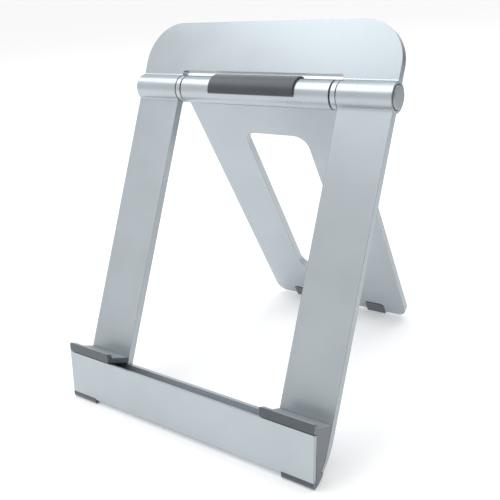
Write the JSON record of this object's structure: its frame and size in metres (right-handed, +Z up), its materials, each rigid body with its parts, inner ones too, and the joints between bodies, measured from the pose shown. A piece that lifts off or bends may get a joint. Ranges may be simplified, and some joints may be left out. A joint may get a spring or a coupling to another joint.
{
  "type": "folding tablet and phone stand",
  "caption": "Folding aluminium A-frame desk stand: windowed front plate with hooked lip and rubber ledges, friction hinge barrel, and a swinging rear leg.",
  "frame": {"origin": "on the floor, under the centre of the stand's bounding box, with the stand open as in use", "axes": "+X along the hinge to the stand's right, +Y from the front lip to the rear leg, +Z up"},
  "size_m": [0.1214, 0.1356, 0.148],
  "materials": {
    "anodised_aluminium": "fine bead-blasted, clear anodised, satin",
    "bright_aluminium": "diamond-turned, clear anodised, bright",
    "cushion_rubber": "matte moulded silicone, dark blue-grey",
    "hardware_steel": "turned and stamped, bright",
    "bush_bronze": "sintered, dull",
    "washer_nylon": "moulded, dark"
  },
  "bodies": {
    "frame": {"front_frame": "anodised_aluminium", "lip_cushion_right": "cushion_rubber", "lip_cushion_left": "cushion_rubber", "end_cap_right": "anodised_aluminium", "end_cap_left": "anodised_aluminium", "hinge_collar_right": "bright_aluminium", "hinge_collar_left": "bright_aluminium", "collar_key_pin_right": "hardware_steel", "collar_key_pin_left": "hardware_steel", "friction_washer_right": "washer_nylon", "friction_washer_left": "washer_nylon", "frame_bush_right": "bush_bronze", "frame_bush_left": "bush_bronze", "thrust_washer_right": "hardware_steel", "thrust_washer_left": "hardware_steel", "disc_spring_inner_right": "hardware_steel", "disc_spring_inner_left": "hardware_steel", "disc_spring_outer_right": "hardware_steel", "disc_spring_outer_left": "hardware_steel", "hinge_screw": "hardware_steel", "lock_nut": "hardware_steel"},
    "leg": {"rear_leg": "anodised_aluminium", "knuckle_pad": "cushion_rubber", "rear_foot_right": "cushion_rubber", "rear_foot_left": "cushion_rubber", "knuckle_bush_right": "bush_bronze", "knuckle_bush_left": "bush_bronze"}
  },
  "joints": [
    {"name": "leg_fold", "type": "hinge", "parent": "frame", "child": "leg", "pos_m": [0, 0.00012, 0.12226], "axis": [1, 0, 0], "range_deg": [-53.3, 90]}
  ]
}
